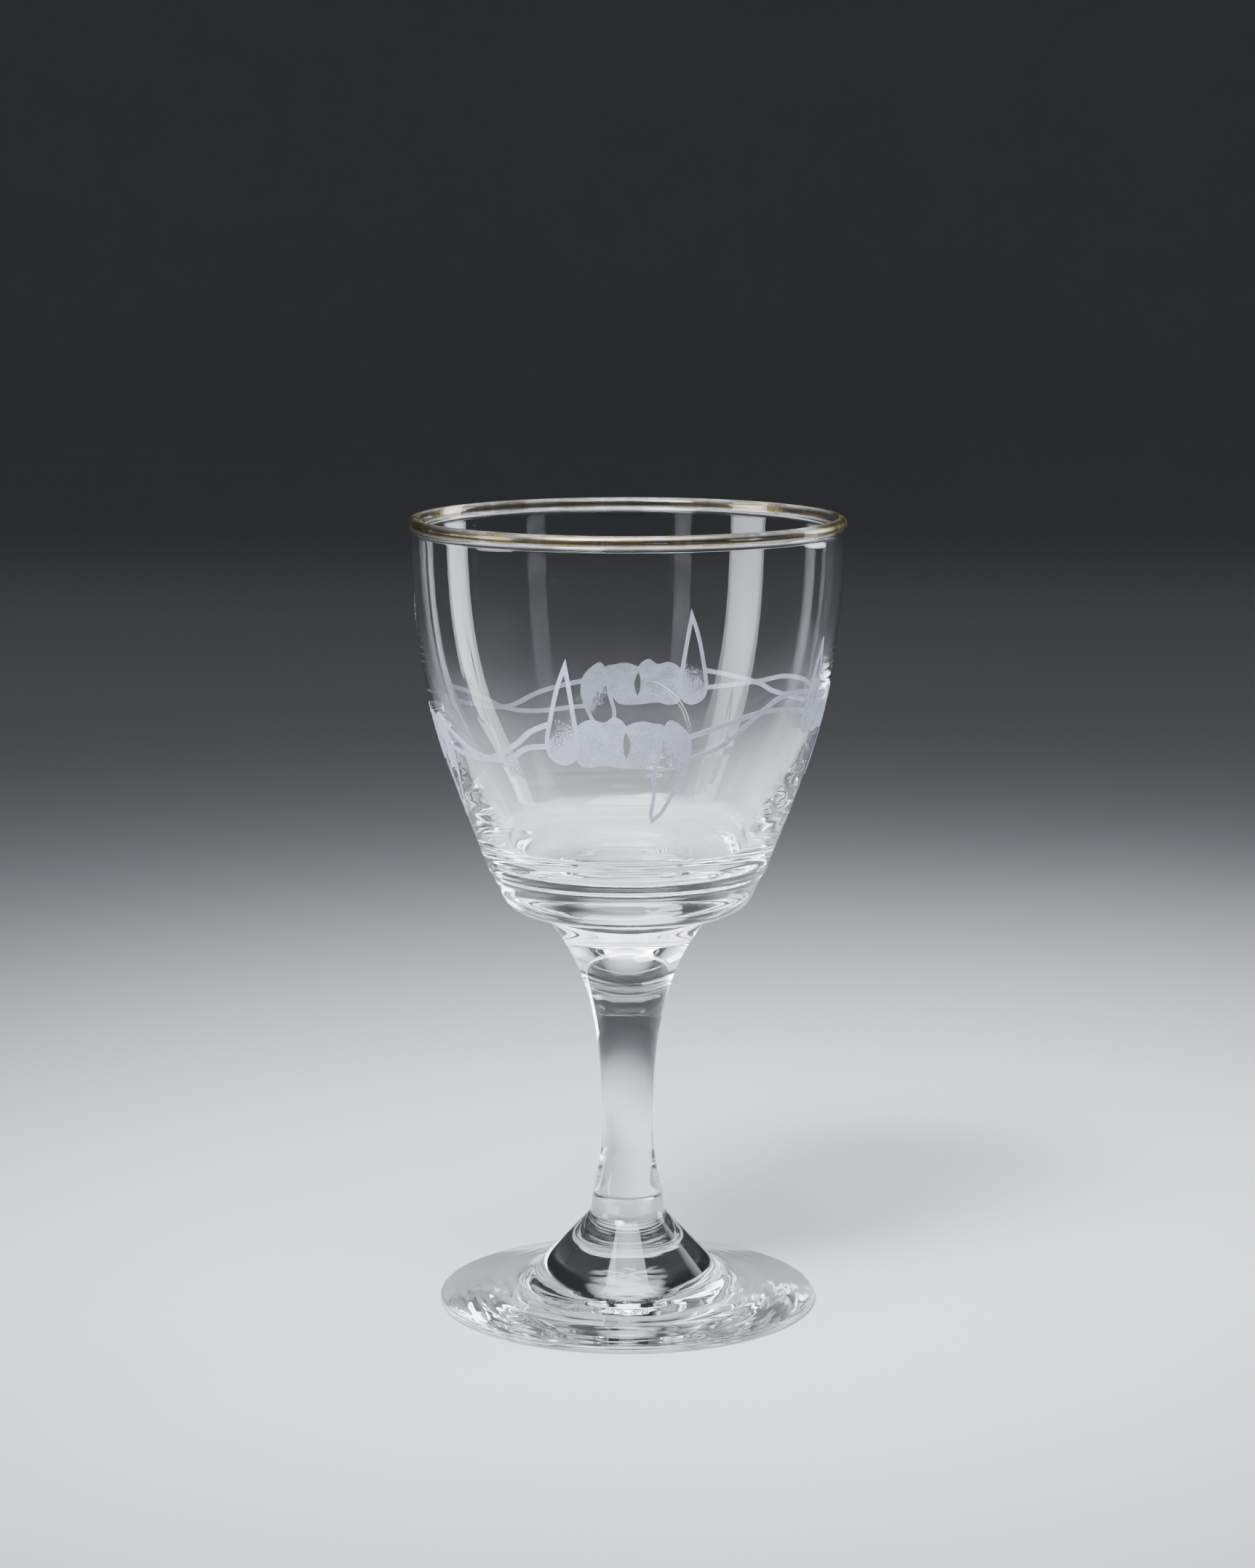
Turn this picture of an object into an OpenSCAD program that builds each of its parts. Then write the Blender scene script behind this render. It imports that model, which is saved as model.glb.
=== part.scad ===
// Stemmed wine glass. A clear bowl with a thick base, a drawn stem and a domed
// foot are fused into one another. The lip carries a worn gilt line, and a band
// of frosted petals joined by crossing waves runs round the middle of the bowl.
// Millimetres, +Z up, origin on the table under the glass's axis. The first
// motif of the frosted band faces -Y.

/* [Glass] */
// overall height, from the table to the top of the lip
height = 125.5; // [120:0.5:130]
// diameter over the rolled lip
rim_d = 68; // [66:0.5:72]
// diameter of the foot
foot_d = 60; // [56:0.5:64]

/* [Bowl] */
// thickness of the rolled lip
lip_d = 2; // [1.8:0.1:2.4]
// wall thickness just below the lip
wall_t = 1.25; // [1:0.05:1.5]
// height of the ridge where the wall meets the thick base
ridge_z = 70; // [69:0.25:71]
// diameter of that ridge
ridge_d = 43.8; // [43:0.2:45]
// height of the bowl's flat underside, where the stem is fused on
seat_z = 62.9; // [62.5:0.1:63.5]
// glass between that underside and the bottom of the cup
floor_t = 7.8; // [7:0.2:8.6]

/* [Stem] */
// diameter of the stem's flared top
collar_d = 25.2; // [24:0.2:26]
// diameter at the stem's thinnest place
waist_d = 8; // [7:0.1:9]
// height of that thinnest place
waist_z = 28.2; // [26:0.2:32]
// diameter of the seam between the stem and the foot
seam_d = 11.6; // [11:0.1:12]
// height of that seam
seam_z = 15.1; // [14.5:0.1:16]

/* [Foot] */
// thickness of the foot's rounded edge
edge_t = 1.16; // [1:0.02:1.6]
// width of the flat ring that the glass stands on
ring_w = 8; // [5:0.5:10]
// depth of the shallow hollow inside that ring
hollow = 1.2; // [0.6:0.1:1.6]

/* [Decoration] */
// thickness of the gold film on the lip
gilt_t = 0.06; // [0.05:0.01:0.1]
// thickness of the frosted layer
frost_t = 0.1; // [0.08:0.01:0.14]
// width of a frosted wave line
line_w = 0.8; // [0.6:0.05:1.1]
// where each motif's middle faces, in degrees from the front
motif_turn = [-3, 77, 174, 273]; // [-10:1:280]
// how far each motif sits above the first one
motif_lift = [0, 2.4, 0, -2]; // [-3:0.1:3]
// how large each motif is beside the first one
motif_size = [1, 0.9, 1, 1.04]; // [0.8:0.01:1.1]

/* [Hidden] */
$fn = 180;
steps = 16;
rim_r = rim_d / 2;
lip_r = lip_d / 2;
foot_r = foot_d / 2;
ridge_r = ridge_d / 2;
collar_r = collar_d / 2;
waist_r = waist_d / 2;
seam_r = seam_d / 2;
edge_r = edge_t / 2;
floor_z = seat_z + floor_t;

// the lip is a round bead: its middle, the radius of its glass under the gold
// film, and the angle below level at which the wall meets it
lip_at = [rim_r - lip_r, height - lip_r];
glass_lip_r = lip_r - gilt_t;
meet = acos(wall_t / 2 / glass_lip_r);
wall_r = lip_at.x + wall_t / 2;
cup_r = lip_at.x - wall_t / 2;
wall_top = lip_at.y - glass_lip_r * sin(meet);
// the bead is drawn in steps of this many degrees, and the film in the same ones
lip_step = 7.5;

// the wall falls straight from the lip, then leans in to the ridge
wall_drop = 28.7;
ridge_lean = 19.5;
ridge_reach = 14.2;
wall = bend([
    [wall_r, wall_top],
    [wall_r, wall_top - wall_drop],
    [ridge_r, ridge_z] + ridge_reach * [sin(ridge_lean), cos(ridge_lean)],
    [ridge_r, ridge_z]
]);

// below the ridge the base tucks in and rounds over to the flat underside
tuck_lean = 41;
tuck_reach = 3.9;
flat_reach = 8.3;
base = bend([
    [ridge_r, ridge_z],
    [ridge_r, ridge_z] - tuck_reach * [sin(tuck_lean), cos(tuck_lean)],
    [collar_r + flat_reach, seat_z],
    [collar_r, seat_z]
]);

// the cup inside follows the wall, and the glass thickens down to a round floor
cup_side = [ridge_r - 1.7, ridge_z + 5.8];
cup_lean = 25;
cup_reach = 11;
floor_reach = 4.2;
floor_flat = 11;
cup = bend([
    [cup_r, wall_top],
    [cup_r, wall_top - wall_drop],
    cup_side + cup_reach * [sin(cup_lean), cos(cup_lean)],
    cup_side
]);
cup_floor = bend([
    cup_side,
    cup_side - floor_reach * [sin(cup_lean), cos(cup_lean)],
    [floor_flat, floor_z],
    [0, floor_z]
]);

// the stem narrows from its collar to the waist and swells again to the seam. Its
// side is upright at all three, and a longer length turns away more gently
collar_straight = 3.2;
upper_straight = 28.6;
lower_straight = 5.7;
seam_straight = 2.5;
stem_upper = bend([
    [collar_r, seat_z],
    [collar_r, seat_z - collar_straight],
    [waist_r, waist_z + upper_straight],
    [waist_r, waist_z]
]);
stem_lower = bend([
    [waist_r, waist_z],
    [waist_r, waist_z - lower_straight],
    [seam_r, seam_z + seam_straight],
    [seam_r, seam_z]
]);

// the foot: a small neck, a steep cone and a low dome out to the edge. Each pull
// says which way a curve leaves its end, and a longer one turns away more gently
cone_top = [seam_r + 1.9, seam_z - 2.7];
cone_end = [13.8, 5.9];
dome_at = [18, 3.45];
seam_pull = [0.1, -0.9];
neck_pull = [-1.1, 1.15];
cone_pull = [1.2, -1.25];
dome_pull = [-1.8, 0.4];
foot_neck = bend([
    [seam_r, seam_z],
    [seam_r, seam_z] + seam_pull,
    cone_top + neck_pull,
    cone_top
]);
foot_dome = bend([
    cone_end,
    cone_end + cone_pull,
    dome_at + dome_pull,
    dome_at
]);
// the edge is drawn in steps of this many degrees
edge_step = 15;
// the hollow underneath rises at a slant from the ring and is level in the middle
ring_in = foot_r - edge_r - ring_w;
underside = bend([
    [ring_in, 0],
    [ring_in * 0.7, hollow * 0.6],
    [ring_in * 0.35, hollow],
    [0, hollow]
]);

// the part of the wall that the frosted band covers, and the wall's radius there
band_low = 77;
band_high = 112;
band_r = wall_r * 0.93;

// one motif, as seen square on: x runs round the bowl, y is the height.
// The left petal points up and the right one down. A larger or smaller motif
// grows or shrinks about the height motif_mid.
motif_mid = 94.5;
petal_up_tip = [-7.5, 107.2];
petal_up_edge = [
    petal_up_tip, [-9.1, 102.9], [-10.2, 98], [-10.8, 94.3], [-10.1, 91.8], [-8, 90.7],
    [-6.2, 91.6], [-5.5, 94.2], [-6.1, 98.4], [-6.8, 103.2], petal_up_tip
];
petal_down_tip = [4.9, 81.5];
petal_down_edge = [
    petal_down_tip, [6.6, 83.1], [8, 85.5], [10.1, 89.6], [11, 93], [10.5, 95.8],
    [7.9, 97.9], [6.4, 95.3], [5.9, 92.5], [5, 89.3], [5.1, 86.3], [4.6, 83], petal_down_tip
];
notch = [1.4, 97.1];
lobes_edge = [
    notch, [0.7, 98], [-0.5, 98.4], [-1.9, 97.6], [-3.9, 98], [-5.8, 96.9],
    [-6.6, 93.8], [-5.8, 91.1], [-4, 90.5], [-1.9, 90.9], [1, 90.5], [4, 90.5],
    [5.4, 91.5], [7.2, 94.6], [7, 97], [5.3, 97.5], [3.5, 97.8], notch
];
gap_left = [[1.4, 96.2], [1, 95], [1, 93.2], [1.4, 91.9]];
gap_right = [[1.4, 91.9], [1.9, 93.2], [2, 94.6], [1.4, 96.2]];

// the two strands of each wave: x goes from -1 at the motif on the left to 1 at
// the motif on the right, where it runs on under the petal, and y is the height
strands = [
    [
        [[-1.1, 94.6], [-0.55, 96.4], [0, 97.9], [0.5, 98.1], [1.1, 97.2]],
        [[-1.1, 91], [-0.5, 93.2], [-0.1, 96.3], [0.35, 99.5], [0.7, 100.5], [1.1, 100.2]]
    ],
    [
        [[-1.1, 97.4], [-0.6, 97.7], [-0.1, 97.2], [0.3, 95.7], [1.1, 93.4]],
        [[-1.1, 95], [-0.5, 94.3], [0, 94.5], [0.3, 95.5], [1.1, 97]]
    ],
    [
        [[-1.1, 95.2], [-0.5, 93.4], [0, 91.2], [0.5, 92.3], [1.1, 94.5]],
        [[-1.1, 90.6], [-0.4, 89.9], [0.05, 91], [0.5, 94.2], [1.1, 97]]
    ],
    [
        [[-1.1, 95.9], [-0.6, 92.9], [-0.2, 91], [0.3, 90.8], [0.65, 93], [1.1, 93.7]],
        [[-1.1, 92.2], [-0.5, 90.6], [0, 90.7], [0.5, 93.5], [0.75, 95.7], [1.1, 97.5]]
    ]
];
// half the angle that a motif fills, as seen from the axis
motif_half = 19.5;

glass_color = [0.82, 0.88, 0.88, 0.35];
frost_color = [0.8, 0.82, 0.88, 0.85];
gilt_color = [0.55, 0.47, 0.25, 0.8];

// a cubic Bezier curve as a list of points
function bend(p, n = steps) = [
    for (i = [0:n])
        let (t = i / n, s = 1 - t)
            s * s * s * p[0] + 3 * s * s * t * p[1] + 3 * s * t * t * p[2] + t * t * t * p[3]
];

// points round part of a circle, from angle a to angle b by the given step
function arc(middle, r, a, b, step) = [for (t = [a:step:b]) middle + r * [cos(t), sin(t)]];

// a smooth open curve through every point of p, with n steps between two points
function through(p, n = 5) = concat([
    for (i = [0:len(p) - 2], j = [0:n - 1])
        let (
            a = p[max(i - 1, 0)], b = p[i], c = p[i + 1], d = p[min(i + 2, len(p) - 1)],
            t = j / n
        )
            b + (c - a) * t / 2 + (2 * a - 5 * b + 4 * c - d) * t * t / 2
            + (3 * b - a - 3 * c + d) * t * t * t / 2
], [p[len(p) - 1]]);

// the direction square to a curve c at its point i
function square_to(c, i) =
    let (along = c[min(i + 1, len(c) - 1)] - c[max(i - 1, 0)])
        [-along.y, along.x] / norm(along);

// the outline of a line of width w along a curve c
function ribbon(c, w) = concat(
    [for (i = [0:len(c) - 1]) c[i] + square_to(c, i) * w / 2],
    [for (i = [len(c) - 1:-1:0]) c[i] - square_to(c, i) * w / 2]
);

function reversed(p) = [for (i = [len(p) - 1:-1:0]) p[i]];

// the angle that motif i + 1 faces, counted on round the bowl past the last one
function turn(i) = motif_turn[i % 4] + 360 * floor(i / 4);

// a thin coat that lies face to face on the wall
module coat() {
    covered = [for (p = wall) if (p.y > band_low && p.y < band_high) p];
    rotate_extrude()
        polygon(concat(covered, reversed([for (p = covered) p + [frost_t, 0]])));
}

// a flat shape pushed out from the axis, towards the angle that it faces
module facing(angle) {
    rotate([0, 0, angle])
        rotate([90, 0, 0])
            linear_extrude(height = rim_r + 2)
                children();
}

// moves and sizes a flat shape as motif i + 1, counted on round the bowl
module as_motif(i) {
    translate([0, motif_mid + motif_lift[i % 4]])
        scale(motif_size[i % 4])
            translate([0, -motif_mid])
                children();
}

// the coat, kept only inside a flat shape that faces angle
module frosted(angle) {
    color(frost_color)
        intersection() {
            coat();
            facing(angle)
                children();
        }
}

module petal_up_shape() {
    polygon(through(petal_up_edge));
}

module petal_down_shape() {
    polygon(through(petal_down_edge));
}

module lobes_shape() {
    difference() {
        polygon(through(lobes_edge));
        polygon(concat(through(gap_left), through(gap_right)));
        petal_up_shape();
        petal_down_shape();
    }
}

// the strands of wave i, drawn between two motifs that are span degrees apart
module wave_shape(i, span) {
    for (strand = strands[i])
        let (
            reach = band_r * sin(span / 2),
            line = [for (p = strand) [p.x * reach, p.y]]
        )
            polygon(ribbon(through(line), line_w));
}

module bowl() {
    color(glass_color)
        rotate_extrude()
            polygon(concat(
                wall, base, [[0, seat_z], [0, floor_z]], reversed(cup_floor), reversed(cup),
                arc(lip_at, glass_lip_r, 225, -45, -lip_step)
            ));
}

module gilt_line() {
    // the film reaches from just above the wall over the top of the lip
    low = -45;
    high = 105;
    color(gilt_color)
        rotate_extrude()
            polygon(concat(
                arc(lip_at, lip_r, low, high, lip_step),
                arc(lip_at, glass_lip_r, high, low, -lip_step)
            ));
}

module stem() {
    color(glass_color)
        rotate_extrude()
            polygon(concat([[0, seat_z]], stem_upper, stem_lower, [[0, seam_z]]));
}

module foot() {
    color(glass_color)
        rotate_extrude()
            polygon(concat(
                [[0, seam_z]], foot_neck, foot_dome,
                arc([foot_r - edge_r, edge_r], edge_r, 90, -90, -edge_step), underside
            ));
}

module petal_up(i) {
    frosted(turn(i - 1))
        as_motif(i - 1)
            petal_up_shape();
}

module petal_down(i) {
    frosted(turn(i - 1))
        as_motif(i - 1)
            petal_down_shape();
}

module lobes(i) {
    frosted(turn(i - 1))
        as_motif(i - 1)
            lobes_shape();
}

// the wave that joins motif i to the next one round the bowl
module wave(i) {
    span = turn(i) - turn(i - 1) - 2 * motif_half;
    difference() {
        frosted((turn(i) + turn(i - 1)) / 2)
            wave_shape(i - 1, span);
        facing(turn(i - 1))
            as_motif(i - 1)
                petal_down_shape();
        facing(turn(i))
            as_motif(i)
                petal_up_shape();
    }
}

bowl();
stem();
foot();
gilt_line();
for (i = [1:4]) petal_up(i);
for (i = [1:4]) petal_down(i);
for (i = [1:4]) lobes(i);
for (i = [1:4]) wave(i);
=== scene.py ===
"""A small stemmed wine glass: clear pressed glass, a worn gilt line and a frosted band.

Lengths in the shape code are in millimetres, as in the CAD source, and every mesh is
scaled to metres when it is made. A profile is a list of (distance from the axis, height).
"""

import math

import bpy
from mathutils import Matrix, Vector, geometry, noise


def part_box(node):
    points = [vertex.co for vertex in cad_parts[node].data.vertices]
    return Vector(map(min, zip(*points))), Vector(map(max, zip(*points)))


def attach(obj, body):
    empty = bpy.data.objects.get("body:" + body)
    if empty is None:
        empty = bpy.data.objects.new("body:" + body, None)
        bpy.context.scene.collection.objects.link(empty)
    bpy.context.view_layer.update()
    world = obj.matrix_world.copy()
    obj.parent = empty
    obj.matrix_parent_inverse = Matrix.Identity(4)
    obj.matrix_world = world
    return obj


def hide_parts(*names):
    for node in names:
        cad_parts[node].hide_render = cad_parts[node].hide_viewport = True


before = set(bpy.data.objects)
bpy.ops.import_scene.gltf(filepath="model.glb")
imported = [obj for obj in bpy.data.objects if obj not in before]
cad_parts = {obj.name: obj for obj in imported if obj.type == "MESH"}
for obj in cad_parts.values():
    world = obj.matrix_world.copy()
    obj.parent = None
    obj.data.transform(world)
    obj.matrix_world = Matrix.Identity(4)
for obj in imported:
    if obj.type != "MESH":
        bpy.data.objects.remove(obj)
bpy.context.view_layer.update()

MM = 0.001
# points nearer to each other than this, in millimetres, are the same point
SAME = 1e-4
# an edge bent more sharply than this stays crisp in the shading
SHARP_ANGLE = math.radians(50)


# ---------------------------------------------------------------- sizes from the frame

def span(node):
    """The lowest and highest corner of a CAD node in millimetres."""
    low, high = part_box(node)
    return low / MM, high / MM


RIM_R = span("gilt_line")[1].x
HEIGHT = span("gilt_line")[1].z
FOOT_R = span("foot")[1].x
SEAT_Z = span("bowl")[0].z
SEAM_Z = span("stem")[0].z
COLLAR_R = span("stem")[1].x

# the rolled lip, a round bead, and the wall below it. MEET is the angle below level at
# which the wall meets the bead. The gilt film runs between two angles round the bead
LIP_R = 1.0
GILT_T = 0.06
GILT_LOW = -45
GILT_HIGH = 105
GILT_CLEAR = 0.015
WALL_T = 1.25
LIP_AT = (RIM_R - LIP_R, HEIGHT - LIP_R)
BEAD_R = LIP_R - GILT_T
MEET = math.acos(WALL_T / 2 / BEAD_R)
WALL_R = LIP_AT[0] + WALL_T / 2
CUP_R = LIP_AT[0] - WALL_T / 2
WALL_TOP = LIP_AT[1] - BEAD_R * math.sin(MEET)
WALL_DROP = 28.7

# the ridge, the thick base and the cup's floor. A lean is an angle out from straight up,
# and a reach says how far a curve keeps to it, so a longer one turns away more gently
RIDGE = (21.9, 70.0)
RIDGE_LEAN = 19.5
RIDGE_REACH = 14.2
TUCK_LEAN = 41.0
TUCK_REACH = 3.9
FLAT_REACH = 8.3
FLOOR_T = 7.8
FLOOR_Z = SEAT_Z + FLOOR_T
CUP_SIDE = (RIDGE[0] - 1.7, RIDGE[1] + 5.8)
CUP_LEAN = 25.0
CUP_REACH = 11.0
FLOOR_REACH = 4.2
FLOOR_FLAT = 11.0

# the stem: its side is upright at the collar, the waist and the seam
WAIST = (4.0, 28.2)
SEAM_R = 5.8
COLLAR_STRAIGHT = 3.2
UPPER_STRAIGHT = 28.6
LOWER_STRAIGHT = 5.7
SEAM_STRAIGHT = 2.5

# the foot: a pull says which way and how far a curve leaves its end
CONE_TOP = (SEAM_R + 1.9, SEAM_Z - 2.7)
CONE_END = (13.8, 5.9)
DOME_AT = (18.0, 3.45)
SEAM_PULL = (0.1, -0.9)
NECK_PULL = (-1.1, 1.15)
CONE_PULL = (1.2, -1.25)
DOME_PULL = (-1.8, 0.4)
EDGE_R = 0.58
RING_W = 8.0
RING_IN = FOOT_R - EDGE_R - RING_W
HOLLOW = 1.2

# how high the glass's faint waves are: on the foot's disc, under the foot, in the cup
# and on the base
DISC_WAVE = 0.035
UNDER_WAVE = 0.03
CUP_WAVE = 0.03
BASE_WAVE = 0.015

# the frosted band: where each of the four motifs faces, in degrees from the front, how far
# it sits above the first one, and how large it is beside it
MOTIF_TURN = [-3.0, 77.0, 174.0, 273.0]
MOTIF_LIFT = [0.0, 2.4, 0.0, -2.0]
MOTIF_SIZE = [1.0, 0.9, 1.0, 1.04]
MOTIFS = len(MOTIF_TURN)
# a motif grows or shrinks about this height, and half of it fills this angle
MOTIF_MID = 94.5
MOTIF_HALF = 19.5
# the widths of a wave line and of the stroke round a petal
LINE_W = 0.8
STROKE_W = 0.7
# the wall is unrolled at the first radius, and is about as wide as the second at the band
UNROLL_R = 33.0
BAND_R = WALL_R * 0.93
# each petal's fill dies away towards a slanting line. The numbers are its slant, and the
# values of height + slant * x where nothing is left and where the fill is whole
FILL_UP = (-0.6, 105.0, 98.5)
FILL_DOWN = (1.3, 99.0, 106.2)
# how far the frost's two faces stand off the wall
FROST_IN = 0.03
FROST_OUT = 0.1

# how many steps a turned shape has in one turn
AROUND = 288

# the lights' colour, a little cooler than white
COOL = (0.91, 0.935, 1.0)


# ---------------------------------------------------------------- curves

def lean(at, reach, degrees):
    """The point that lies reach away from at, leaning out from straight up."""
    a = math.radians(degrees)
    return (at[0] + reach * math.sin(a), at[1] + reach * math.cos(a))


def pulled(at, pull):
    """The point that a pull leads to from at."""
    return (at[0] + pull[0], at[1] + pull[1])


def bend(a, b, c, d, steps=40):
    """A cubic Bezier curve as a list of points."""
    points = []
    for i in range(steps + 1):
        t = i / steps
        s = 1 - t
        weights = (s ** 3, 3 * s * s * t, 3 * s * t * t, t ** 3)
        points.append(tuple(
            sum(w * p[k] for w, p in zip(weights, (a, b, c, d))) for k in range(2)
        ))
    return points


def straight(a, b, steps):
    """Evenly spaced points on a line."""
    return [
        (a[0] + (b[0] - a[0]) * i / steps, a[1] + (b[1] - a[1]) * i / steps)
        for i in range(steps + 1)
    ]


def arc(middle, radius, start, end, steps):
    """Points round part of a circle, between two angles in degrees."""
    points = []
    for i in range(steps + 1):
        a = math.radians(start + (end - start) * i / steps)
        points.append((middle[0] + radius * math.cos(a), middle[1] + radius * math.sin(a)))
    return points


def through(points, steps=8):
    """A smooth open curve through every point."""
    last = len(points) - 1
    curve = []
    for i in range(last):
        a, b, c, d = (points[min(max(k, 0), last)] for k in (i - 1, i, i + 1, i + 2))
        for j in range(steps):
            t = j / steps
            curve.append(tuple(
                b[k] + (c[k] - a[k]) * t / 2
                + (2 * a[k] - 5 * b[k] + 4 * c[k] - d[k]) * t * t / 2
                + (3 * b[k] - a[k] - 3 * c[k] + d[k]) * t ** 3 / 2
                for k in range(2)
            ))
    curve.append(tuple(points[last]))
    return curve


def joined(*curves):
    """Curves laid end to end, without the doubled points where they meet."""
    points = []
    for curve in curves:
        for p in curve:
            if not points or math.dist(p, points[-1]) > SAME:
                points.append(p)
    return points


# ---------------------------------------------------------------- profiles of the glass

WALL = bend(
    (WALL_R, WALL_TOP),
    (WALL_R, WALL_TOP - WALL_DROP),
    lean(RIDGE, RIDGE_REACH, RIDGE_LEAN),
    RIDGE,
    steps=80,
)


def bowl_profile():
    """From the middle of the underside, up the outside, over the lip and down the cup."""
    base = bend(
        (COLLAR_R, SEAT_Z),
        (COLLAR_R + FLAT_REACH, SEAT_Z),
        lean(RIDGE, -TUCK_REACH, TUCK_LEAN),
        RIDGE,
    )
    lip = arc(LIP_AT, BEAD_R, -math.degrees(MEET), 180 + math.degrees(MEET), 40)
    cup = bend(
        (CUP_R, WALL_TOP),
        (CUP_R, WALL_TOP - WALL_DROP),
        lean(CUP_SIDE, CUP_REACH, CUP_LEAN),
        CUP_SIDE,
        steps=80,
    )
    floor = bend(
        CUP_SIDE,
        lean(CUP_SIDE, -FLOOR_REACH, CUP_LEAN),
        (FLOOR_FLAT, FLOOR_Z),
        (0, FLOOR_Z),
    )
    seat = straight((0, SEAT_Z), (COLLAR_R, SEAT_Z), 6)
    return joined(seat, base, list(reversed(WALL)), lip, cup, floor)


def stem_profile():
    """From the middle of the lower end, up the side and back over the flared top."""
    lower = bend(
        (SEAM_R, SEAM_Z),
        (SEAM_R, SEAM_Z + SEAM_STRAIGHT),
        (WAIST[0], WAIST[1] - LOWER_STRAIGHT),
        WAIST,
    )
    upper = bend(
        WAIST,
        (WAIST[0], WAIST[1] + UPPER_STRAIGHT),
        (COLLAR_R, SEAT_Z - COLLAR_STRAIGHT),
        (COLLAR_R, SEAT_Z),
        steps=80,
    )
    bottom = straight((0, SEAM_Z), (SEAM_R, SEAM_Z), 3)
    top = straight((COLLAR_R, SEAT_Z), (0, SEAT_Z), 6)
    return joined(bottom, lower, upper, top)


def foot_profile():
    """From the middle of the hollow underside, round the edge and up to the seam."""
    under = bend(
        (0, HOLLOW),
        (RING_IN * 0.35, HOLLOW),
        (RING_IN * 0.7, HOLLOW * 0.6),
        (RING_IN, 0),
    )
    ring = straight((RING_IN, 0), (FOOT_R - EDGE_R, 0), 12)
    edge = arc((FOOT_R - EDGE_R, EDGE_R), EDGE_R, -90, 90, 20)
    disc = straight((FOOT_R - EDGE_R, 2 * EDGE_R), DOME_AT, 36)
    dome = bend(DOME_AT, pulled(DOME_AT, DOME_PULL), pulled(CONE_END, CONE_PULL), CONE_END)
    cone = straight(CONE_END, CONE_TOP, 16)
    seam = (SEAM_R, SEAM_Z)
    neck = bend(CONE_TOP, pulled(CONE_TOP, NECK_PULL), pulled(seam, SEAM_PULL), seam)
    top = straight(seam, (0, SEAM_Z), 3)
    return joined(under, ring, edge, disc, dome, cone, neck, top)


def gilt_profile():
    """A closed loop: the film's outside and, just clear of the glass, its inside."""
    outer = arc(LIP_AT, LIP_R, GILT_LOW, GILT_HIGH, 40)
    inner = arc(LIP_AT, BEAD_R + GILT_CLEAR, GILT_HIGH, GILT_LOW, 40)
    return outer + inner


# ---------------------------------------------------------------- meshes

def new_piece(name, verts, faces, materials, slots, sharp_rings=()):
    """A smooth-shaded object from vertices in millimetres. slots gives each face's
    material, and sharp_rings are sets of vertices that are joined by sharp edges."""
    mesh = bpy.data.meshes.new(name)
    mesh.from_pydata([Vector(v) * MM for v in verts], [], faces)
    for material in materials:
        mesh.materials.append(material)
    mesh.polygons.foreach_set("material_index", slots)
    mesh.polygons.foreach_set("use_smooth", [True] * len(faces))
    mark_sharp(mesh, sharp_rings)
    mesh.update()
    piece = bpy.data.objects.new(name, mesh)
    bpy.context.scene.collection.objects.link(piece)
    return piece


def mark_sharp(mesh, rings):
    """Marks the edges whose two ends both lie in one of the given sets of vertices."""
    for edge in mesh.edges:
        a, b = edge.vertices
        if any(a in ring and b in ring for ring in rings):
            edge.use_edge_sharp = True


def spin(profile, ripple=None, closed=False):
    """Turns a profile round the axis. Returns the vertices, the faces, the profile point
    that each face starts from, and each profile point's ring of vertices."""
    rows, verts = [], []
    for r, z in profile:
        if r < SAME:
            rows.append([len(verts)] * AROUND)
            verts.append((0.0, 0.0, z))
            continue
        rows.append(list(range(len(verts), len(verts) + AROUND)))
        for k in range(AROUND):
            a = 2 * math.pi * k / AROUND
            lift = ripple(r, z, a) if ripple else (0.0, 0.0)
            out = r + lift[0]
            verts.append((out * math.cos(a), out * math.sin(a), z + lift[1]))
    faces, face_rows = [], []
    count = len(rows)
    for i in range(count if closed else count - 1):
        low, high = rows[i], rows[(i + 1) % count]
        for k in range(AROUND):
            n = (k + 1) % AROUND
            corners = [low[k], low[n], high[n], high[k]]
            faces.append(tuple(dict.fromkeys(corners)))
            face_rows.append(i)
    return verts, faces, face_rows, rows


def wander(along, a, seed):
    """Smooth random waves about 1 high, several to a turn and drawn out round the glass."""
    place = Vector((along, 1.6 * math.cos(a), 1.6 * math.sin(a) + seed))
    return noise.noise(place) + 0.5 * noise.noise(place * 2.3)


def foot_ripple(r, z, a):
    """Pressed glass is never quite flat: shallow waves on the disc, top and underside,
    which die away over the last few millimetres before the edge, the cone and the ring."""
    if z > CONE_END[1] or r > FOOT_R - 2 * EDGE_R:
        return (0.0, 0.0)
    if z < edge_line(r):
        hollow = max(0.0, min(1.0, (RING_IN - r) / 3))
        return (0.0, UNDER_WAVE * hollow * wander(r / 1.7, a, seed=20.0))
    ends = min(1.0, (FOOT_R - 2 * EDGE_R - r) / 3, (CONE_END[1] - z) / 1.2)
    return (0.0, DISC_WAVE * max(0.0, ends) * wander(r / 1.3, a, seed=5.0))


def edge_line(r):
    """A height between the foot's underside and its top."""
    return EDGE_R + HOLLOW * max(0.0, 1 - r / RING_IN)


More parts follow.
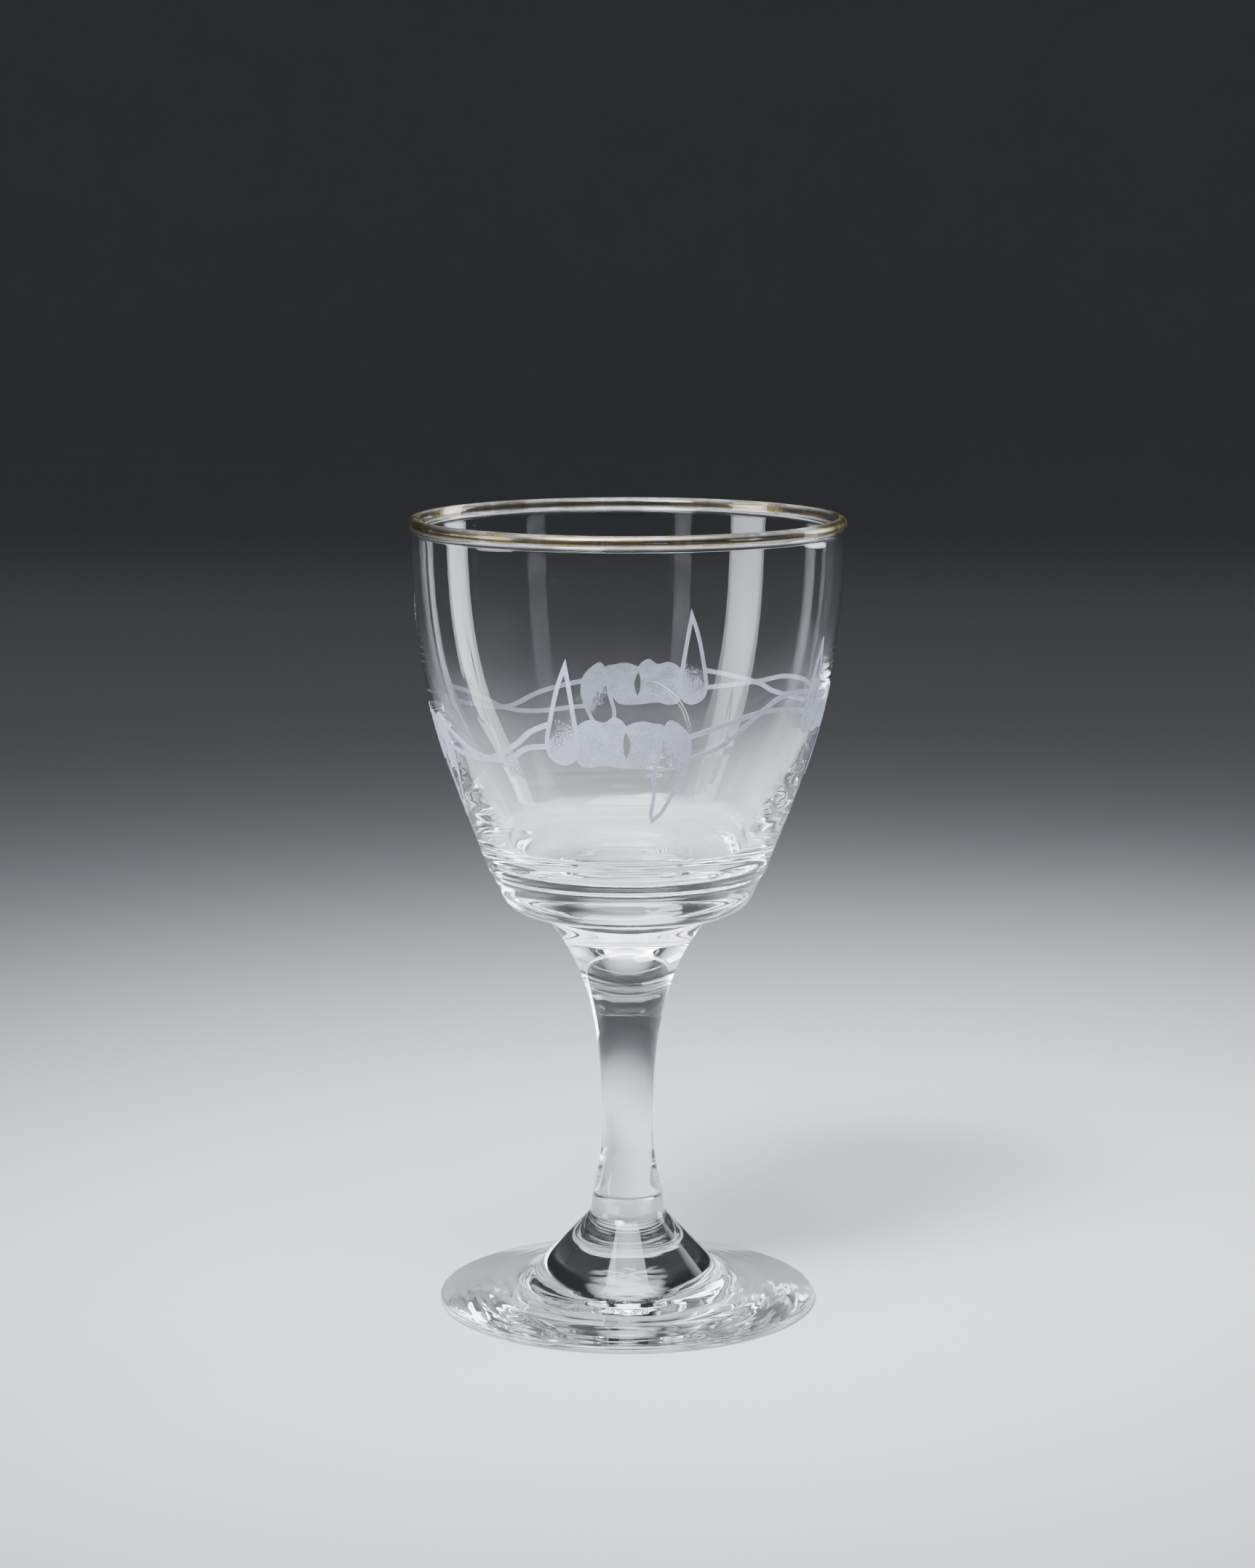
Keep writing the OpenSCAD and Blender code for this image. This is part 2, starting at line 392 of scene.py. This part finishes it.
def bowl_ripple(r, z, a):
    """The plunger left faint waves low in the cup, and the mould some on the base. They
    die away up the cup, at its middle, and at the base's ridge and flat underside."""
    if r > RIM_R - 6 and z > RIDGE[1] + 12 or z <= SEAT_Z + 0.01:
        return (0.0, 0.0)
    if z > FLOOR_Z - 0.01 and r < wall_radius(max(z, RIDGE[1])) - 1.0:
        strength = max(0.0, min(1.0, (RIDGE[1] + 18 - z) / 8)) * min(1.0, r / 6)
        slip = CUP_WAVE * strength * wander(z / 0.9 + r / 2.5, a, seed=40.0)
        return (slip, 0.4 * slip)
    if z < RIDGE[1]:
        ends = min(1.0, (RIDGE[1] - z) / 1.5, (z - SEAT_Z) / 1.0)
        return (BASE_WAVE * max(0.0, ends) * wander(z / 1.2, a, seed=60.0), 0.0)
    return (0.0, 0.0)


def on_joint(p, joint):
    """True if a profile point lies on a flat face that is fused to a neighbour."""
    return p[0] <= joint[0] + SAME and abs(p[1] - joint[1]) < SAME


def glass_piece(name, node, profile, joints, ripple=None):
    """A body of clear glass. joints are the rims, as profile points, of the flat faces
    with which it is fused to its neighbours."""
    verts, faces, face_rows, rows = spin(profile, ripple)
    slots = []
    for i in face_rows:
        fused = any(on_joint(profile[i], j) and on_joint(profile[i + 1], j) for j in joints)
        slots.append(1 if fused else 0)
    rings = [
        set(row) for p, row in zip(profile, rows)
        if any(math.dist(p, joint) < SAME for joint in joints)
    ]
    piece = new_piece(name, verts, faces, [CLEAR, FUSED], slots, rings)
    finish_piece(piece, node)


def gilt_line():
    """The film of gold on the lip."""
    verts, faces, _, _ = spin(gilt_profile(), closed=True)
    piece = new_piece("lip_gilt", verts, faces, [GILT], [0] * len(faces))
    piece.data.set_sharp_from_angle(angle=SHARP_ANGLE)
    finish_piece(piece, "gilt_line")


def finish_piece(piece, node):
    """The piece replaces a CAD node, which is hidden, and rides on the one body."""
    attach(piece, "root")
    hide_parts(node)


# ---------------------------------------------------------------- materials

GLASS_EDGE_ON = (0.93, 0.95, 0.945)
GLASS_FACE_ON = (0.995, 0.998, 0.997)
GILT_WORN = (0.17, 0.13, 0.055)
GILT_BRIGHT = (0.36, 0.29, 0.14)
FROST_THIN = (0.54, 0.57, 0.68)
FROST_DENSE = (0.74, 0.77, 0.88)
FLOOR_DARK = (0.70, 0.70, 0.71)
FLOOR_LIGHT = (0.74, 0.74, 0.75)


def new_material(name):
    """A node material with nothing in it but its output and a Principled shader."""
    material = bpy.data.materials.new(name)
    material.use_nodes = True
    nodes, links = material.node_tree.nodes, material.node_tree.links
    nodes.clear()
    output = nodes.new("ShaderNodeOutputMaterial")
    shader = nodes.new("ShaderNodeBsdfPrincipled")
    links.new(shader.outputs["BSDF"], output.inputs["Surface"])
    return material, nodes, links, shader


def noise_node(nodes, links, scale, detail=2.0, roughness=0.5, vector=None):
    """Noise over the given coordinates, or over the piece's own. The scale is in features
    per metre, or per millimetre on the frost's flat pattern."""
    texture = nodes.new("ShaderNodeTexNoise")
    texture.inputs["Scale"].default_value = scale
    texture.inputs["Detail"].default_value = detail
    texture.inputs["Roughness"].default_value = roughness
    if vector is None:
        vector = nodes.new("ShaderNodeTexCoord").outputs["Object"]
    links.new(vector, texture.inputs["Vector"])
    return texture.outputs["Fac"]


def remap(nodes, links, value, low, high, to_low, to_high):
    """A value moved from one range to another and clamped."""
    node = nodes.new("ShaderNodeMapRange")
    node.inputs["From Min"].default_value = low
    node.inputs["From Max"].default_value = high
    node.inputs["To Min"].default_value = to_low
    node.inputs["To Max"].default_value = to_high
    links.new(value, node.inputs["Value"])
    return node.outputs["Result"]


def tint(nodes, links, value, dark, light):
    """A colour between two, chosen by a value from 0 to 1."""
    ramp = nodes.new("ShaderNodeValToRGB")
    ramp.color_ramp.elements[0].color = (*dark, 1)
    ramp.color_ramp.elements[1].color = (*light, 1)
    links.new(value, ramp.inputs["Fac"])
    return ramp.outputs["Color"]


def bump(nodes, links, height, strength, distance):
    """A normal bent by a height value. distance is in metres."""
    node = nodes.new("ShaderNodeBump")
    node.inputs["Strength"].default_value = strength
    node.inputs["Distance"].default_value = distance
    links.new(height, node.inputs["Height"])
    return node.outputs["Normal"]


def clear_glass():
    """Polished soda glass: colourless face on, a trace greener where sight runs along it."""
    material, nodes, links, shader = new_material("clear_glass")
    shader.inputs["Transmission Weight"].default_value = 1.0
    shader.inputs["IOR"].default_value = 1.52
    shader.inputs["Roughness"].default_value = 0.0
    facing = nodes.new("ShaderNodeLayerWeight")
    facing.inputs["Blend"].default_value = 0.35
    colour = tint(nodes, links, facing.outputs["Facing"], GLASS_FACE_ON, GLASS_EDGE_ON)
    links.new(colour, shader.inputs["Base Color"])
    return material


def fused_glass():
    """Where two parts of the glass are fused there is no surface, so light goes straight on."""
    material = bpy.data.materials.new("fused_glass")
    material.use_nodes = True
    nodes, links = material.node_tree.nodes, material.node_tree.links
    nodes.clear()
    output = nodes.new("ShaderNodeOutputMaterial")
    clear = nodes.new("ShaderNodeBsdfTransparent")
    links.new(clear.outputs["BSDF"], output.inputs["Surface"])
    return material


def gilt():
    """A thin, worn film of fired gold that lets some of the glass show through."""
    material, nodes, links, shader = new_material("gilt")
    shader.inputs["Metallic"].default_value = 1.0
    wear = noise_node(nodes, links, 160.0, 4.0, 0.6)
    colour = tint(nodes, links, wear, GILT_WORN, GILT_BRIGHT)
    links.new(colour, shader.inputs["Base Color"])
    links.new(remap(nodes, links, wear, 0.3, 0.7, 0.2, 0.38), shader.inputs["Roughness"])
    links.new(remap(nodes, links, wear, 0.38, 0.62, 0.25, 0.62), shader.inputs["Alpha"])
    return material


def sum_of(nodes, links, a, share, b=None):
    """The value a * share + b, or a * share alone."""
    node = nodes.new("ShaderNodeMath")
    node.operation = "MULTIPLY_ADD"
    node.inputs[1].default_value = share
    node.inputs[2].default_value = 0.0
    links.new(a, node.inputs[0])
    if b is not None:
        links.new(b, node.inputs[2])
    return node.outputs[0]


def pattern_place(nodes):
    """The place on the flat pattern in millimetres, which the frost's pieces carry as UV."""
    place = nodes.new("ShaderNodeUVMap")
    place.uv_map = "motif"
    return place.outputs["UV"]


def frost(name, thin, dense, fill=None, stretch=1.0):
    """Pale grey satin frost. thin and dense are its least and most cover. A fill dies away
    as FILL_UP and FILL_DOWN say, and a stretch above 1 draws the grain out into upright
    dashes."""
    material, nodes, links, shader = new_material(name)
    motif = nodes.new("ShaderNodeMapping")
    motif.inputs["Scale"].default_value = (1.0, 1.0 / stretch, 1.0)
    links.new(pattern_place(nodes), motif.inputs["Vector"])
    grain = noise_node(nodes, links, 3.2, 3.0, 0.65, motif.outputs["Vector"])
    patch = noise_node(nodes, links, 420.0, 3.0, 0.6)
    colour = tint(nodes, links, grain, FROST_THIN, FROST_DENSE)
    links.new(colour, shader.inputs["Base Color"])
    shader.inputs["Transmission Weight"].default_value = 0.15
    shader.inputs["IOR"].default_value = 1.3
    links.new(remap(nodes, links, patch, 0.3, 0.7, 0.5, 0.7), shader.inputs["Roughness"])
    mottle = sum_of(nodes, links, patch, 0.4, sum_of(nodes, links, grain, 0.6))
    if fill:
        slant, none, whole = fill
        place = nodes.new("ShaderNodeSeparateXYZ")
        links.new(pattern_place(nodes), place.inputs["Vector"])
        level = sum_of(nodes, links, place.outputs["X"], slant, place.outputs["Y"])
        fading = remap(nodes, links, level, none, whole, -0.3, 0.12)
        mottle = sum_of(nodes, links, fading, 1.0, mottle)
    links.new(remap(nodes, links, mottle, 0.38, 0.57, thin, dense), shader.inputs["Alpha"])
    links.new(bump(nodes, links, grain, 0.5, 0.00003), shader.inputs["Normal"])
    return material


def floor_paint():
    """A plain pale matt floor with the faintest mottling."""
    material, nodes, links, shader = new_material("pale_floor")
    mottling = noise_node(nodes, links, 9.0, 4.0)
    colour = tint(nodes, links, mottling, FLOOR_DARK, FLOOR_LIGHT)
    links.new(colour, shader.inputs["Base Color"])
    shader.inputs["Roughness"].default_value = 0.75
    return material


# ---------------------------------------------------------------- the frosted band

def wall_radius(z):
    """The outside radius of the wall at a height."""
    for a, b in zip(WALL, WALL[1:]):
        if b[1] <= z <= a[1]:
            t = (a[1] - z) / (a[1] - b[1])
            return a[0] + (b[0] - a[0]) * t
    raise ValueError(f"the wall doesn't reach height {z}")


def unrolled(outline, angle):
    """A flat outline, as seen square on from an angle, laid out round the wall instead."""
    middle = math.radians(angle)
    return [((middle + math.asin(x / wall_radius(z))) * UNROLL_R, z) for x, z in outline]


def on_wall(s, z, off):
    """A point of the unrolled wall, put back in space and moved off the wall."""
    near = 0.2
    slope = (wall_radius(z + near) - wall_radius(z - near)) / (2 * near)
    level = math.hypot(1, slope)
    out = wall_radius(z) + off / level
    turn = s / UNROLL_R
    return (out * math.sin(turn), -out * math.cos(turn), z - off * slope / level)


def inside(p, outline):
    """True if a point lies inside a closed outline."""
    hit = False
    for a, b in zip(outline, outline[1:] + outline[:1]):
        if (a[1] > p[1]) != (b[1] > p[1]):
            if p[0] < a[0] + (b[0] - a[0]) * (p[1] - a[1]) / (b[1] - a[1]):
                hit = not hit
    return hit


def away_from(p, outline):
    """The distance from a point to the nearest place on a closed outline."""
    best = math.inf
    here = Vector(p)
    for a, b in zip(outline, outline[1:] + outline[:1]):
        a, b = Vector(a), Vector(b)
        along = b - a
        t = max(0.0, min(1.0, (here - a).dot(along) / max(along.length_squared, 1e-12)))
        best = min(best, (here - a - along * t).length)
    return best


def inset(outline, width):
    """An outline moved inwards. It may cross itself where the shape is narrow."""
    moved = []
    count = len(outline)
    area = sum(
        a[0] * b[1] - b[0] * a[1] for a, b in zip(outline, outline[1:] + outline[:1])
    )
    side = width if area > 0 else -width
    for i, p in enumerate(outline):
        a, b = outline[i - 1], outline[(i + 1) % count]
        along = Vector((b[0] - a[0], b[1] - a[1])).normalized()
        moved.append((p[0] - along.y * side, p[1] + along.x * side))
    return moved


def sheet_cut(outlines, keep, grid=1.1):
    """Triangles of the unrolled plane, cut along the outlines, for which keep(middle)
    gives a slot number and not None. Returns the points, the triangles and their slots.
    The outlines are filled with a grid of points, as in a net of equal triangles."""
    points, edges = [], []
    for outline in outlines:
        first = len(points)
        points += outline
        count = len(outline)
        edges += [(first + i, first + (i + 1) % count) for i in range(count)]
    low = [min(p[k] for p in points) for k in range(2)]
    high = [max(p[k] for p in points) for k in range(2)]
    row = 0
    z = low[1]
    while z < high[1]:
        s = low[0] + (row % 2) * grid / 2
        while s < high[0]:
            clear = all(away_from((s, z), outline) > grid * 0.35 for outline in outlines)
            if clear and keep((s, z)) is not None:
                points.append((s, z))
            s += grid
        z += grid * 0.87
        row += 1
    made = geometry.delaunay_2d_cdt([Vector(p) for p in points], edges, [], 0, 1e-5)
    flat, triangles = made[0], made[2]
    kept, slots = [], []
    for triangle in triangles:
        middle = sum((flat[i] for i in triangle), Vector((0, 0))) / 3
        slot = keep(middle)
        if slot is not None:
            kept.append(tuple(triangle))
            slots.append(slot)
    return flat, kept, slots


def frost_piece(name, node, outlines, keep, materials, own_place):
    """A thin closed coat over the triangles that are kept, just clear of the wall.
    own_place gives a point's place on the flat pattern, which is its UV."""
    flat, triangles, slots = sheet_cut(outlines, keep)
    used = sorted({i for triangle in triangles for i in triangle})
    number = {i: k for k, i in enumerate(used)}
    count = len(used)
    verts = [on_wall(*flat[i], FROST_OUT) for i in used]
    verts += [on_wall(*flat[i], FROST_IN) for i in used]
    faces, face_slots = [], []
    sides = {}
    for triangle, slot in zip(triangles, slots):
        a, b, c = (number[i] for i in triangle)
        faces += [(a, b, c), (c + count, b + count, a + count)]
        face_slots += [slot, slot]
        for edge in ((a, b), (b, c), (c, a)):
            sides[edge] = slot
    for (a, b), slot in sides.items():
        if (b, a) not in sides:
            faces.append((b, a, a + count, b + count))
            face_slots.append(slot)
    piece = new_piece(name, verts, faces, materials, face_slots)
    uv = piece.data.uv_layers.new(name="motif")
    for loop in piece.data.loops:
        uv.data[loop.index].uv = own_place(flat[used[loop.vertex_index % count]])
    piece.data.set_sharp_from_angle(angle=SHARP_ANGLE)
    finish_piece(piece, node)


# one motif, as seen square on: the first number runs round the bowl and the second is the
# height. The left petal points up and the right one down
PETAL_UP_TIP = (-7.5, 107.2)
PETAL_UP = [
    PETAL_UP_TIP, (-9.1, 102.9), (-10.2, 98), (-10.8, 94.3), (-10.1, 91.8), (-8, 90.7),
    (-6.2, 91.6), (-5.5, 94.2), (-6.1, 98.4), (-6.8, 103.2), PETAL_UP_TIP,
]
PETAL_DOWN_TIP = (4.9, 81.5)
PETAL_DOWN = [
    PETAL_DOWN_TIP, (6.6, 83.1), (8, 85.5), (10.1, 89.6), (11, 93), (10.5, 95.8),
    (7.9, 97.9), (6.4, 95.3), (5.9, 92.5), (5, 89.3), (5.1, 86.3), (4.6, 83), PETAL_DOWN_TIP,
]
NOTCH = (1.4, 97.1)
LOBES = [
    NOTCH, (0.7, 98), (-0.5, 98.4), (-1.9, 97.6), (-3.9, 98), (-5.8, 96.9),
    (-6.6, 93.8), (-5.8, 91.1), (-4, 90.5), (-1.9, 90.9), (1, 90.5), (4, 90.5),
    (5.4, 91.5), (7.2, 94.6), (7, 97), (5.3, 97.5), (3.5, 97.8), NOTCH,
]
GAP_LEFT = [(1.4, 96.2), (1, 95), (1, 93.2), (1.4, 91.9)]
GAP_RIGHT = [(1.4, 91.9), (1.9, 93.2), (2, 94.6), (1.4, 96.2)]

# the two strands of each wave: x goes from -1 at the motif on the left to 1 at the
# motif on the right, where it runs on under the petal, and the second number is the height
STRANDS = [
    [
        [(-1.1, 94.6), (-0.55, 96.4), (0, 97.9), (0.5, 98.1), (1.1, 97.2)],
        [(-1.1, 91), (-0.5, 93.2), (-0.1, 96.3), (0.35, 99.5), (0.7, 100.5), (1.1, 100.2)],
    ],
    [
        [(-1.1, 97.4), (-0.6, 97.7), (-0.1, 97.2), (0.3, 95.7), (1.1, 93.4)],
        [(-1.1, 95), (-0.5, 94.3), (0, 94.5), (0.3, 95.5), (1.1, 97)],
    ],
    [
        [(-1.1, 95.2), (-0.5, 93.4), (0, 91.2), (0.5, 92.3), (1.1, 94.5)],
        [(-1.1, 90.6), (-0.4, 89.9), (0.05, 91), (0.5, 94.2), (1.1, 97)],
    ],
    [
        [(-1.1, 95.9), (-0.6, 92.9), (-0.2, 91), (0.3, 90.8), (0.65, 93), (1.1, 93.7)],
        [(-1.1, 92.2), (-0.5, 90.6), (0, 90.7), (0.5, 93.5), (0.75, 95.7), (1.1, 97.5)],
    ],
]


def closed_through(points):
    """A smooth curve through every point, without its doubled last point."""
    return through(points)[:-1]


def turn(i):
    """The angle that motif i faces, counted on round the bowl past the last one."""
    return MOTIF_TURN[i % MOTIFS] + 360 * (i // MOTIFS)


def as_motif(outline, i):
    """A flat outline moved and sized as motif i, then unrolled."""
    size, lift = MOTIF_SIZE[i % MOTIFS], MOTIF_LIFT[i % MOTIFS]
    moved = [(x * size, MOTIF_MID + lift + (z - MOTIF_MID) * size) for x, z in outline]
    return unrolled(moved, turn(i))


def motif_outline(points, i):
    """A smooth closed outline of motif i, unrolled."""
    return as_motif(closed_through(points), i)


def motif_place(i):
    """The function that takes a point of the unrolled wall back to the flat motif i."""
    size, lift = MOTIF_SIZE[i], MOTIF_LIFT[i]
    middle = math.radians(turn(i)) * UNROLL_R

    def place(p):
        return ((p[0] - middle) / size, MOTIF_MID + (p[1] - lift - MOTIF_MID) / size)

    return place


def petal_piece(name, points, i, materials, fill):
    """A petal: a dense stroke round its edge and a thinner fill over part of its inside."""
    edge = motif_outline(points, i)
    inner = inset(edge, STROKE_W)
    place = motif_place(i)

    def keep(p):
        if not inside(p, edge):
            return None
        if away_from(p, edge) < STROKE_W:
            return 0
        return 1 if filled(fill, *place(p)) else None

    frost_piece(f"{name}_frost", name, [edge, inner], keep, materials, place)


def filled(fill, x, z):
    """True where a petal's fill has not died away."""
    slant, none, whole = fill
    return (z + slant * x - none) * (whole - none) > 0


def lobes_piece(name, i, materials):
    """The group of round lobes between the petals, with a clear lens in the middle."""
    edge = motif_outline(LOBES, i)
    gap = as_motif(joined(through(GAP_LEFT), through(GAP_RIGHT))[:-1], i)
    left = motif_outline(PETAL_UP, i)
    right = motif_outline(PETAL_DOWN, i)

    def keep(p):
        if not inside(p, edge) or any(inside(p, o) for o in (gap, left, right)):
            return None
        return 0

    outlines = [edge, gap, left, right]
    frost_piece(f"{name}_frost", name, outlines, keep, materials, motif_place(i))


def ribbon(curve, width):
    """The closed outline of a line of some width along a curve."""
    left, right = [], []
    for i, p in enumerate(curve):
        a, b = curve[max(i - 1, 0)], curve[min(i + 1, len(curve) - 1)]
        along = Vector((b[0] - a[0], b[1] - a[1])).normalized()
        left.append((p[0] - along.y * width / 2, p[1] + along.x * width / 2))
        right.append((p[0] + along.y * width / 2, p[1] - along.x * width / 2))
    return left + list(reversed(right))


def wave_piece(name, i, materials):
    """Two crossing strands from motif i to the next one round the bowl, drawn flat and
    square on to the middle between the two motifs."""
    gap = turn(i + 1) - turn(i) - 2 * MOTIF_HALF
    middle = (turn(i + 1) + turn(i)) / 2
    reach = BAND_R * math.sin(math.radians(gap / 2))
    strands = []
    for strand in STRANDS[i]:
        line = through([(x * reach, z) for x, z in strand])
        strands.append(unrolled(ribbon(line, LINE_W), middle))
    ends = [motif_outline(PETAL_DOWN, i), motif_outline(PETAL_UP, i + 1)]

    def keep(p):
        if any(inside(p, o) for o in ends):
            return None
        return 0 if any(inside(p, o) for o in strands) else None

    def place(p):
        return (p[0] - math.radians(middle) * UNROLL_R, p[1])

    frost_piece(f"{name}_frost", name, strands + ends, keep, materials, place)


# ---------------------------------------------------------------- the studio

def aim(thing, target):
    """Turns a light or camera so that it looks at a point."""
    thing.rotation_euler = (Vector(target) - thing.location).to_track_quat("-Z", "Y").to_euler()


def softbox(name, azimuth, distance, height, size, watts, spread, target=0.08):
    """A soft panel light aimed at the glass's axis at the target height. Azimuth 0 is on
    the camera's side and 90 on its right, and spread is how wide its light opens, in
    degrees."""
    data = bpy.data.lights.new(name, "AREA")
    data.shape = "RECTANGLE"
    data.size, data.size_y = size
    data.energy = watts
    data.color = COOL
    data.spread = math.radians(spread)
    lamp = bpy.data.objects.new(name, data)
    a = math.radians(azimuth)
    lamp.location = (distance * math.sin(a), -distance * math.cos(a), height)
    bpy.context.scene.collection.objects.link(lamp)
    aim(lamp, (0, 0, target))
    lamp.visible_camera = False


def studio_floor():
    """A round floor that curves up into a low wall far behind, the same on every side.
    It lies a hair under the foot, so that light can leave the glass before it lands."""
    flat, far, rise, drop = 2200, 3400, 2000, 0.05
    first_ring, growth, rings, steps = 20, 1.28, 19, 24
    profile = [(0.0, -drop)]
    profile += [(first_ring * growth ** i, -drop) for i in range(rings)]
    for i in range(steps + 1):
        a = math.pi / 2 * i / steps
        profile.append((flat + (far - flat) * math.sin(a), rise * (1 - math.cos(a)) - drop))
    verts, faces, _, _ = spin(profile)
    floor = new_piece("studio_floor", verts, faces, [floor_paint()], [0] * len(faces))


def studio_lights():
    """A soft pool of light from above, a tall strip on either side, a small fill by the
    camera and a wide panel far behind."""
    softbox("overhead", 0, 0.1, 0.44, (0.3, 0.3), 0.85, 80)
    softbox("left", -74, 0.62, 0.32, (0.26, 0.54), 0.55, 60, 0.24)
    softbox("right", 117, 0.62, 0.32, (0.22, 0.54), 0.55, 60, 0.24)
    softbox("front", -32, 0.35, 0.55, (0.22, 0.22), 0.4, 30)
    softbox("back", 180, 1.5, 1.0, (2.6, 1.1), 0.75, 40)
    world = bpy.data.worlds.new("studio")
    bpy.context.scene.world = world
    world.use_nodes = True
    world.node_tree.nodes["Background"].inputs["Color"].default_value = (0.55, 0.57, 0.62, 1)
    world.node_tree.nodes["Background"].inputs["Strength"].default_value = 0.08


def camera():
    """A long lens a little above the rim, tilted down."""
    distance, height, tilt = 0.57089, 0.17770, 9.391
    data = bpy.data.cameras.new("camera")
    data.lens = 84.63
    data.sensor_width = 36.0
    data.clip_start = 0.01
    eye = bpy.data.objects.new("camera", data)
    eye.location = (0.0, -distance, height)
    eye.rotation_euler = (math.radians(90 - tilt), 0, 0)
    bpy.context.scene.collection.objects.link(eye)
    bpy.context.scene.camera = eye


def render_settings():
    """Enough bounces for light to get out of thick glass, and a clean picture."""
    scene = bpy.context.scene
    bounces = 96
    scene.cycles.max_bounces = bounces
    scene.cycles.transmission_bounces = bounces
    scene.cycles.glossy_bounces = bounces
    scene.cycles.transparent_max_bounces = 32
    scene.cycles.sample_clamp_indirect = 20.0
    scene.cycles.use_denoising = True
    scene.view_settings.view_transform = "AgX"


# ---------------------------------------------------------------- the glass

camera()
studio_floor()
studio_lights()
render_settings()

CLEAR = clear_glass()
FUSED = fused_glass()
GILT = gilt()
LINE_FROST = frost("frost_line", 0.62, 0.92)
LOBE_FROST = frost("frost_lobe", 0.36, 0.84)
FILL_UP_FROST = frost("frost_fill_up", 0.0, 0.76, FILL_UP)
FILL_DOWN_FROST = frost("frost_fill_down", 0.0, 0.8, FILL_DOWN, 3.0)

glass_piece("bowl_glass", "bowl", bowl_profile(), [(COLLAR_R, SEAT_Z)], bowl_ripple)
glass_piece("stem_glass", "stem", stem_profile(), [(COLLAR_R, SEAT_Z), (SEAM_R, SEAM_Z)])
glass_piece("foot_glass", "foot", foot_profile(), [(SEAM_R, SEAM_Z)], foot_ripple)
gilt_line()

for i in range(MOTIFS):
    petal_piece(f"petal_up_{i + 1}", PETAL_UP, i, [LINE_FROST, FILL_UP_FROST], FILL_UP)
    petal_piece(f"petal_down_{i + 1}", PETAL_DOWN, i, [LINE_FROST, FILL_DOWN_FROST], FILL_DOWN)
    lobes_piece(f"lobes_{i + 1}", i, [LOBE_FROST])
    wave_piece(f"wave_{i + 1}", i, [LINE_FROST])
